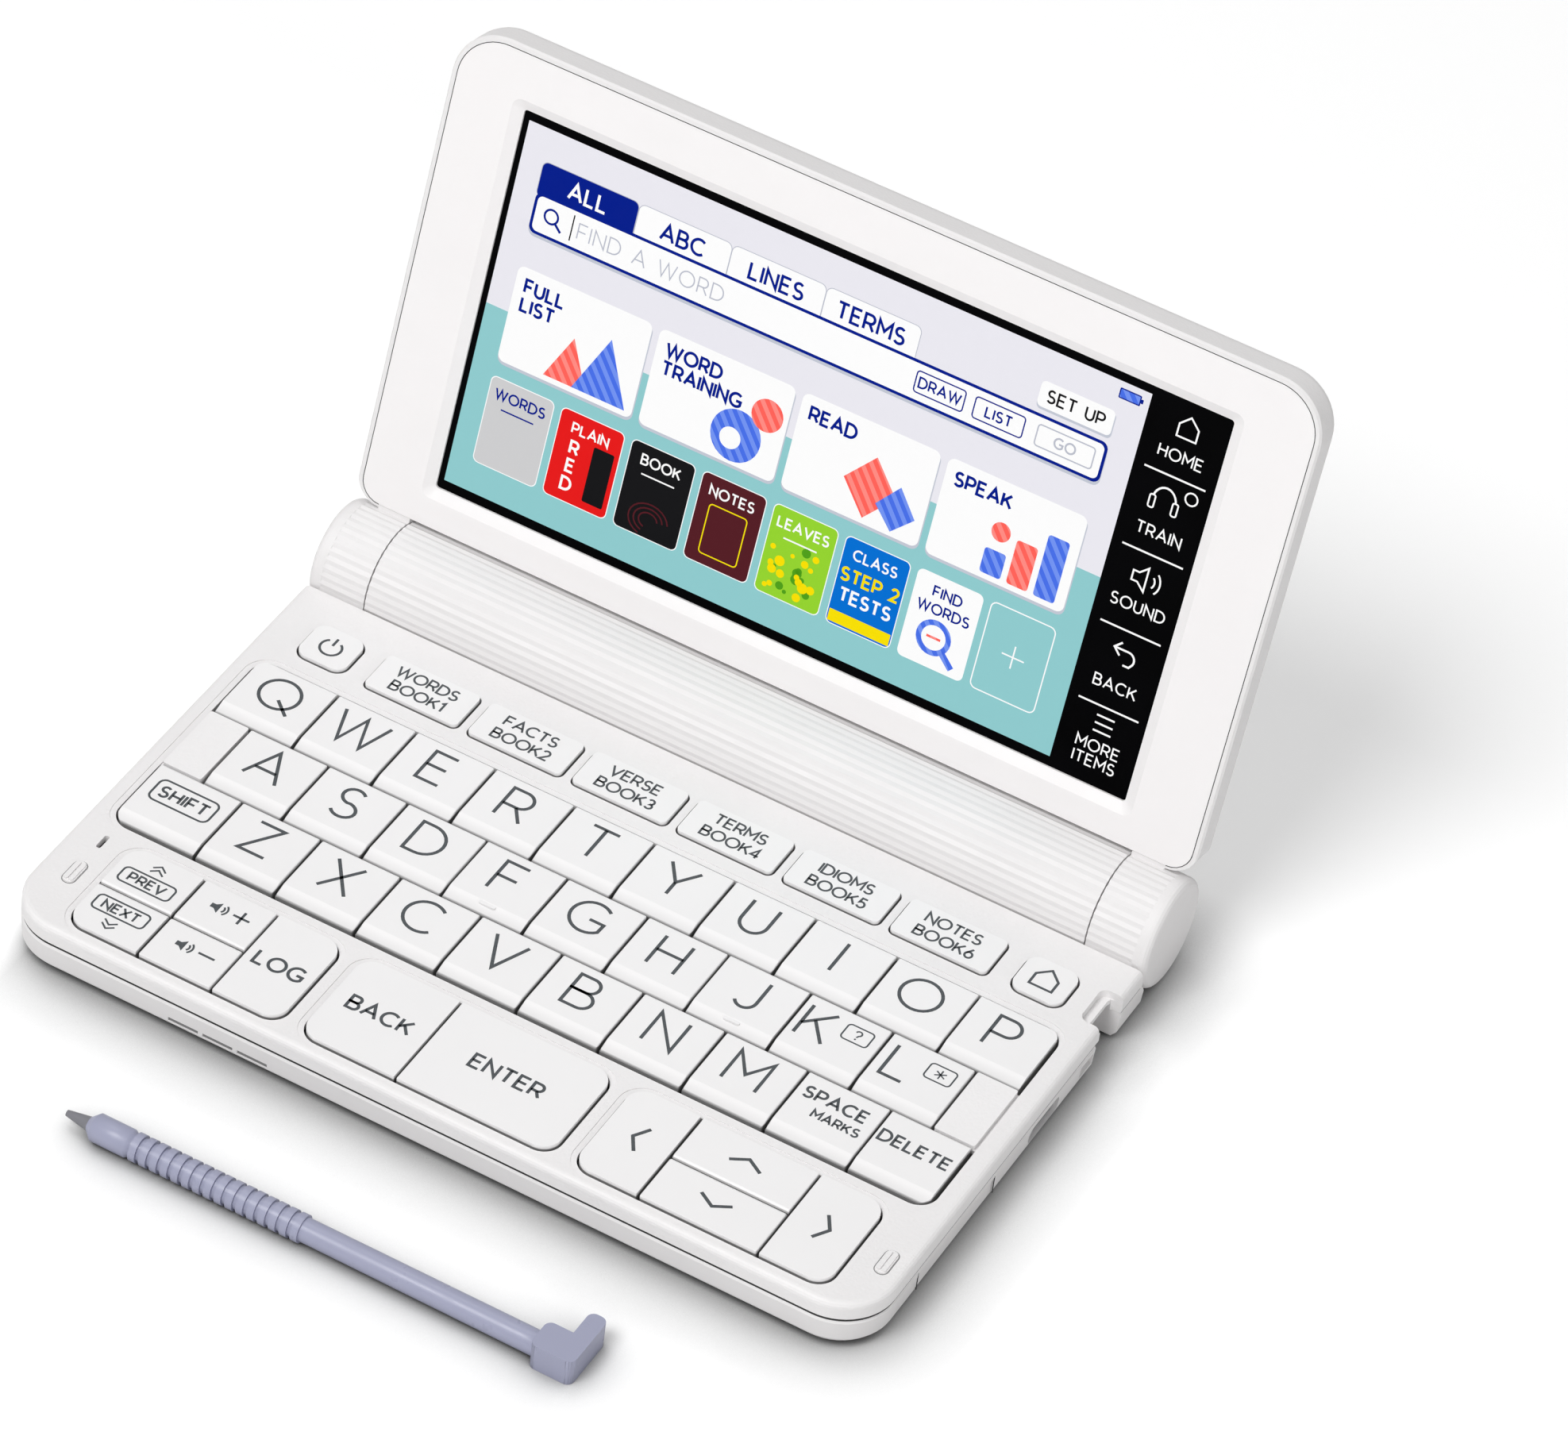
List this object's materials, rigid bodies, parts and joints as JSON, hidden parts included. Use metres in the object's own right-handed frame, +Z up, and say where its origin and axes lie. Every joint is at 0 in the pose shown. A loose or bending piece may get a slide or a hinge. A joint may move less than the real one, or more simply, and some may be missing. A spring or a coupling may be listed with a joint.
{
  "type": "electronic dictionary",
  "caption": "Clamshell electronic dictionary with a full letter keyboard, battery barrel hinge, touch display lid and a separate stylus.",
  "frame": {"origin": "On the table, under the centre of the box round the base, the open lid and the stylus in front.", "axes": "+X to the right as the user looks at the keys, +Y from the front edge towards the hinge, +Z up from the table."},
  "size_m": [0.148, 0.1541, 0.099],
  "materials": {
    "key_plastic": "smooth satin white",
    "deck_plastic": "fine leather grain, white",
    "case_plastic": "fine texture, white",
    "bezel_plastic": "satin white",
    "battery_sleeve": "printed sleeve, plain blue",
    "contact_metal": "nickel plated",
    "board_laminate": "green solder mask",
    "mat_rubber": "translucent silicone",
    "foot_rubber": "matt",
    "screw_steel": "satin",
    "display_module": "display module",
    "screen_glass": "polished touch panel",
    "stylus_plastic": "lavender satin"
  },
  "bodies": {
    "base": {"upper_case": "deck_plastic", "lower_case": "case_plastic", "barrel_shell": "case_plastic", "batteries": "battery_sleeve", "battery_contacts": "contact_metal", "circuit_board": "board_laminate", "key_mat": "mat_rubber", "rubber_feet": "foot_rubber", "screws": "screw_steel"},
    "lid": {"lid_back_cover": "case_plastic", "lid_bezel": "bezel_plastic", "display_panel": "display_module", "touch_panel": "screen_glass", "hinge_pins": "screw_steel"},
    "battery_cover": {"battery_cover": "case_plastic"},
    "card_slot_cover": {"card_slot_cover": "case_plastic"},
    "stylus": {"stylus": "stylus_plastic"},
    "key_q": {"key_q": "key_plastic"},
    "key_w": {"key_w": "key_plastic"},
    "key_e": {"key_e": "key_plastic"},
    "key_r": {"key_r": "key_plastic"},
    "key_t": {"key_t": "key_plastic"},
    "key_y": {"key_y": "key_plastic"},
    "key_u": {"key_u": "key_plastic"},
    "key_i": {"key_i": "key_plastic"},
    "key_o": {"key_o": "key_plastic"},
    "key_p": {"key_p": "key_plastic"},
    "key_a": {"key_a": "key_plastic"},
    "key_s": {"key_s": "key_plastic"},
    "key_d": {"key_d": "key_plastic"},
    "key_f": {"key_f": "key_plastic"},
    "key_g": {"key_g": "key_plastic"},
    "key_h": {"key_h": "key_plastic"},
    "key_j": {"key_j": "key_plastic"},
    "key_k": {"key_k": "key_plastic"},
    "key_l": {"key_l": "key_plastic"},
    "shift_key": {"shift_key": "key_plastic"},
    "key_z": {"key_z": "key_plastic"},
    "key_x": {"key_x": "key_plastic"},
    "key_c": {"key_c": "key_plastic"},
    "key_v": {"key_v": "key_plastic"},
    "key_b": {"key_b": "key_plastic"},
    "key_n": {"key_n": "key_plastic"},
    "key_m": {"key_m": "key_plastic"},
    "space_key": {"space_key": "key_plastic"},
    "delete_key": {"delete_key": "key_plastic"},
    "power_key": {"power_key": "key_plastic"},
    "home_key": {"home_key": "key_plastic"},
    "dictionary_keys": {"dictionary_keys": "key_plastic"},
    "previous_key": {"previous_key": "key_plastic"},
    "next_key": {"next_key": "key_plastic"},
    "volume_up_key": {"volume_up_key": "key_plastic"},
    "volume_down_key": {"volume_down_key": "key_plastic"},
    "history_key": {"history_key": "key_plastic"},
    "back_key": {"back_key": "key_plastic"},
    "enter_key": {"enter_key": "key_plastic"},
    "left_key": {"left_key": "key_plastic"},
    "up_key": {"up_key": "key_plastic"},
    "down_key": {"down_key": "key_plastic"},
    "right_key": {"right_key": "key_plastic"}
  },
  "joints": [
    {"name": "lid_hinge", "type": "hinge", "parent": "base", "child": "lid", "pos_m": [0, 0.04618, 0.0096], "axis": [1, 0, 0], "range_deg": [-50, 105]},
    {"name": "battery_cover_lift", "type": "slide", "parent": "base", "child": "battery_cover", "axis": [0, 0.7071, -0.7071], "range_m": [0, 0.012]},
    {"name": "card_cover_pull", "type": "slide", "parent": "base", "child": "card_slot_cover", "axis": [1, 0, 0], "range_m": [0, 0.008]},
    {"name": "stylus_lift", "type": "slide", "parent": "base", "child": "stylus", "axis": [0, 0, 1], "range_m": [0, 0.03]},
    {"name": "key_q_press", "type": "slide", "parent": "base", "child": "key_q", "axis": [0, 0, -1], "range_m": [0, 0.0006], "stiffness_N_per_m": 800, "springref_m": -0.0003},
    {"name": "key_w_press", "type": "slide", "parent": "base", "child": "key_w", "axis": [0, 0, -1], "range_m": [0, 0.0006], "stiffness_N_per_m": 800, "springref_m": -0.0003},
    {"name": "key_e_press", "type": "slide", "parent": "base", "child": "key_e", "axis": [0, 0, -1], "range_m": [0, 0.0006], "stiffness_N_per_m": 800, "springref_m": -0.0003},
    {"name": "key_r_press", "type": "slide", "parent": "base", "child": "key_r", "axis": [0, 0, -1], "range_m": [0, 0.0006], "stiffness_N_per_m": 800, "springref_m": -0.0003},
    {"name": "key_t_press", "type": "slide", "parent": "base", "child": "key_t", "axis": [0, 0, -1], "range_m": [0, 0.0006], "stiffness_N_per_m": 800, "springref_m": -0.0003},
    {"name": "key_y_press", "type": "slide", "parent": "base", "child": "key_y", "axis": [0, 0, -1], "range_m": [0, 0.0006], "stiffness_N_per_m": 800, "springref_m": -0.0003},
    {"name": "key_u_press", "type": "slide", "parent": "base", "child": "key_u", "axis": [0, 0, -1], "range_m": [0, 0.0006], "stiffness_N_per_m": 800, "springref_m": -0.0003},
    {"name": "key_i_press", "type": "slide", "parent": "base", "child": "key_i", "axis": [0, 0, -1], "range_m": [0, 0.0006], "stiffness_N_per_m": 800, "springref_m": -0.0003},
    {"name": "key_o_press", "type": "slide", "parent": "base", "child": "key_o", "axis": [0, 0, -1], "range_m": [0, 0.0006], "stiffness_N_per_m": 800, "springref_m": -0.0003},
    {"name": "key_p_press", "type": "slide", "parent": "base", "child": "key_p", "axis": [0, 0, -1], "range_m": [0, 0.0006], "stiffness_N_per_m": 800, "springref_m": -0.0003},
    {"name": "key_a_press", "type": "slide", "parent": "base", "child": "key_a", "axis": [0, 0, -1], "range_m": [0, 0.0006], "stiffness_N_per_m": 800, "springref_m": -0.0003},
    {"name": "key_s_press", "type": "slide", "parent": "base", "child": "key_s", "axis": [0, 0, -1], "range_m": [0, 0.0006], "stiffness_N_per_m": 800, "springref_m": -0.0003},
    {"name": "key_d_press", "type": "slide", "parent": "base", "child": "key_d", "axis": [0, 0, -1], "range_m": [0, 0.0006], "stiffness_N_per_m": 800, "springref_m": -0.0003},
    {"name": "key_f_press", "type": "slide", "parent": "base", "child": "key_f", "axis": [0, 0, -1], "range_m": [0, 0.0006], "stiffness_N_per_m": 800, "springref_m": -0.0003},
    {"name": "key_g_press", "type": "slide", "parent": "base", "child": "key_g", "axis": [0, 0, -1], "range_m": [0, 0.0006], "stiffness_N_per_m": 800, "springref_m": -0.0003},
    {"name": "key_h_press", "type": "slide", "parent": "base", "child": "key_h", "axis": [0, 0, -1], "range_m": [0, 0.0006], "stiffness_N_per_m": 800, "springref_m": -0.0003},
    {"name": "key_j_press", "type": "slide", "parent": "base", "child": "key_j", "axis": [0, 0, -1], "range_m": [0, 0.0006], "stiffness_N_per_m": 800, "springref_m": -0.0003},
    {"name": "key_k_press", "type": "slide", "parent": "base", "child": "key_k", "axis": [0, 0, -1], "range_m": [0, 0.0006], "stiffness_N_per_m": 800, "springref_m": -0.0003},
    {"name": "key_l_press", "type": "slide", "parent": "base", "child": "key_l", "axis": [0, 0, -1], "range_m": [0, 0.0006], "stiffness_N_per_m": 800, "springref_m": -0.0003},
    {"name": "shift_key_press", "type": "slide", "parent": "base", "child": "shift_key", "axis": [0, 0, -1], "range_m": [0, 0.0006], "stiffness_N_per_m": 800, "springref_m": -0.0003},
    {"name": "key_z_press", "type": "slide", "parent": "base", "child": "key_z", "axis": [0, 0, -1], "range_m": [0, 0.0006], "stiffness_N_per_m": 800, "springref_m": -0.0003},
    {"name": "key_x_press", "type": "slide", "parent": "base", "child": "key_x", "axis": [0, 0, -1], "range_m": [0, 0.0006], "stiffness_N_per_m": 800, "springref_m": -0.0003},
    {"name": "key_c_press", "type": "slide", "parent": "base", "child": "key_c", "axis": [0, 0, -1], "range_m": [0, 0.0006], "stiffness_N_per_m": 800, "springref_m": -0.0003},
    {"name": "key_v_press", "type": "slide", "parent": "base", "child": "key_v", "axis": [0, 0, -1], "range_m": [0, 0.0006], "stiffness_N_per_m": 800, "springref_m": -0.0003},
    {"name": "key_b_press", "type": "slide", "parent": "base", "child": "key_b", "axis": [0, 0, -1], "range_m": [0, 0.0006], "stiffness_N_per_m": 800, "springref_m": -0.0003},
    {"name": "key_n_press", "type": "slide", "parent": "base", "child": "key_n", "axis": [0, 0, -1], "range_m": [0, 0.0006], "stiffness_N_per_m": 800, "springref_m": -0.0003},
    {"name": "key_m_press", "type": "slide", "parent": "base", "child": "key_m", "axis": [0, 0, -1], "range_m": [0, 0.0006], "stiffness_N_per_m": 800, "springref_m": -0.0003},
    {"name": "space_key_press", "type": "slide", "parent": "base", "child": "space_key", "axis": [0, 0, -1], "range_m": [0, 0.0006], "stiffness_N_per_m": 800, "springref_m": -0.0003},
    {"name": "delete_key_press", "type": "slide", "parent": "base", "child": "delete_key", "axis": [0, 0, -1], "range_m": [0, 0.0006], "stiffness_N_per_m": 800, "springref_m": -0.0003},
    {"name": "power_key_press", "type": "slide", "parent": "base", "child": "power_key", "axis": [0, 0, -1], "range_m": [0, 0.0006], "stiffness_N_per_m": 800, "springref_m": -0.0003},
    {"name": "home_key_press", "type": "slide", "parent": "base", "child": "home_key", "axis": [0, 0, -1], "range_m": [0, 0.0006], "stiffness_N_per_m": 800, "springref_m": -0.0003},
    {"name": "dictionary_keys_press", "type": "slide", "parent": "base", "child": "dictionary_keys", "axis": [0, 0, -1], "range_m": [0, 0.0006], "stiffness_N_per_m": 800, "springref_m": -0.0003},
    {"name": "previous_key_press", "type": "slide", "parent": "base", "child": "previous_key", "axis": [0, 0, -1], "range_m": [0, 0.0006], "stiffness_N_per_m": 800, "springref_m": -0.0003},
    {"name": "next_key_press", "type": "slide", "parent": "base", "child": "next_key", "axis": [0, 0, -1], "range_m": [0, 0.0006], "stiffness_N_per_m": 800, "springref_m": -0.0003},
    {"name": "volume_up_key_press", "type": "slide", "parent": "base", "child": "volume_up_key", "axis": [0, 0, -1], "range_m": [0, 0.0006], "stiffness_N_per_m": 800, "springref_m": -0.0003},
    {"name": "volume_down_key_press", "type": "slide", "parent": "base", "child": "volume_down_key", "axis": [0, 0, -1], "range_m": [0, 0.0006], "stiffness_N_per_m": 800, "springref_m": -0.0003},
    {"name": "history_key_press", "type": "slide", "parent": "base", "child": "history_key", "axis": [0, 0, -1], "range_m": [0, 0.0006], "stiffness_N_per_m": 800, "springref_m": -0.0003},
    {"name": "back_key_press", "type": "slide", "parent": "base", "child": "back_key", "axis": [0, 0, -1], "range_m": [0, 0.0006], "stiffness_N_per_m": 800, "springref_m": -0.0003},
    {"name": "enter_key_press", "type": "slide", "parent": "base", "child": "enter_key", "axis": [0, 0, -1], "range_m": [0, 0.0006], "stiffness_N_per_m": 800, "springref_m": -0.0003},
    {"name": "left_key_press", "type": "slide", "parent": "base", "child": "left_key", "axis": [0, 0, -1], "range_m": [0, 0.0006], "stiffness_N_per_m": 800, "springref_m": -0.0003},
    {"name": "up_key_press", "type": "slide", "parent": "base", "child": "up_key", "axis": [0, 0, -1], "range_m": [0, 0.0006], "stiffness_N_per_m": 800, "springref_m": -0.0003},
    {"name": "down_key_press", "type": "slide", "parent": "base", "child": "down_key", "axis": [0, 0, -1], "range_m": [0, 0.0006], "stiffness_N_per_m": 800, "springref_m": -0.0003},
    {"name": "right_key_press", "type": "slide", "parent": "base", "child": "right_key", "axis": [0, 0, -1], "range_m": [0, 0.0006], "stiffness_N_per_m": 800, "springref_m": -0.0003}
  ]
}
